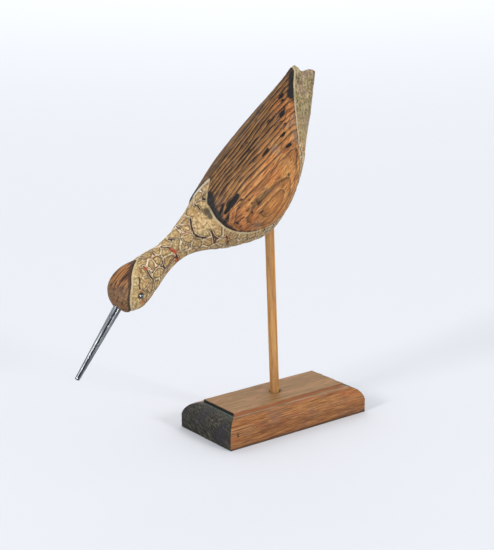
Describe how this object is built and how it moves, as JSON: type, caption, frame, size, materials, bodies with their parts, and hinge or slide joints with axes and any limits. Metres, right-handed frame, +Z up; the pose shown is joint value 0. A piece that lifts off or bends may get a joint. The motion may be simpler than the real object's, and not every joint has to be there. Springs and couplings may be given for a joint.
{
  "type": "shorebird decoy on a stand",
  "caption": "Carved wooden shorebird decoy with a metal bill, head down as if feeding, held up on a round rod in a moulded wooden base.",
  "frame": {"origin": "centre of the base's flat underside", "axes": "+Z up, +X along the base from the bird's head towards its tail, and -Y is the side that the bird's left wing faces"},
  "size_m": [0.3164, 0.082, 0.3542],
  "materials": {
    "base_wood": "stained and waxed, dark end grain",
    "rod_wood": "clear varnish, aged to a golden brown",
    "carving": "raised grain stained orange brown, and a thick crackled coat of tan paint",
    "bill_metal": "dull grey, lengthwise filing marks",
    "eye_glass": "black glass bead, glossy"
  },
  "bodies": {
    "root": {"base": "base_wood", "rod": "rod_wood", "bird": "carving", "bill": "bill_metal", "left_eye": "eye_glass", "right_eye": "eye_glass"}
  },
  "joints": []
}
